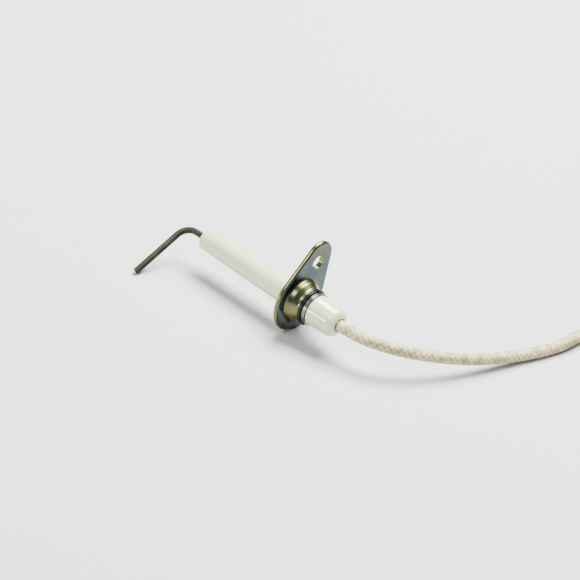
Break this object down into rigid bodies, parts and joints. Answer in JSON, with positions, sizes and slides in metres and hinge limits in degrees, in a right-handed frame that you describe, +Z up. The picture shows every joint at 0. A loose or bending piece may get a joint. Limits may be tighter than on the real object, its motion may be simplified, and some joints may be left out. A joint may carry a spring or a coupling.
{
  "type": "ignition electrode",
  "caption": "Gas burner ignition electrode: bent spark rod in a white ceramic insulator with a teardrop mounting flange and a braided high-voltage lead to a push-on terminal.",
  "frame": {"origin": "centre of the flange's front seating face, on the axis of the ceramic insulator", "axes": "+X rearwards along the ceramic's axis, towards the lead, +Z up; the electrode lies on a surface 10 mm below the axis, on the flange's round end and the tip of the spark rod"},
  "size_m": [0.1498, 0.1269, 0.0275],
  "materials": {
    "zinc_plated_steel": "satin",
    "glazed_ceramic": "gloss",
    "black_spring_steel": "satin",
    "bright_zinc_steel": "satin",
    "oxidised_heat_resistant_alloy": "satin",
    "ceramic_cement": "matte",
    "tinned_metal": "satin",
    "tinned_copper": "satin",
    "glass_fibre_braid": "matte",
    "silicone_potting": "satin",
    "nylon_tie": "satin",
    "sleeve_silicone": "satin"
  },
  "bodies": {
    "electrode": {"ceramic_insulator": "glazed_ceramic", "spring_ring": "black_spring_steel", "retaining_ring": "bright_zinc_steel", "electrode_rod": "oxidised_heat_resistant_alloy", "rod_cement": "ceramic_cement", "crimp_ferrule": "tinned_metal", "conductor_front": "tinned_copper", "lead_entry": "glass_fibre_braid", "rear_potting": "silicone_potting", "lead_run": "glass_fibre_braid", "lead_coil": "glass_fibre_braid", "coil_tie": "nylon_tie", "lead_tail": "glass_fibre_braid", "conductor_end": "tinned_copper", "blade_terminal": "tinned_metal"},
    "flange": {"flange_plate": "zinc_plated_steel"},
    "sleeve": {"terminal_sleeve": "sleeve_silicone"}
  },
  "joints": [
    {"name": "flange_swivel", "type": "hinge", "parent": "electrode", "child": "flange", "pos_m": [0, 0, 0], "axis": [1, 0, 0], "continuous": true},
    {"name": "sleeve_slide", "type": "slide", "parent": "electrode", "child": "sleeve", "axis": [0, 1, 0], "range_m": [0, 0.0155]}
  ]
}
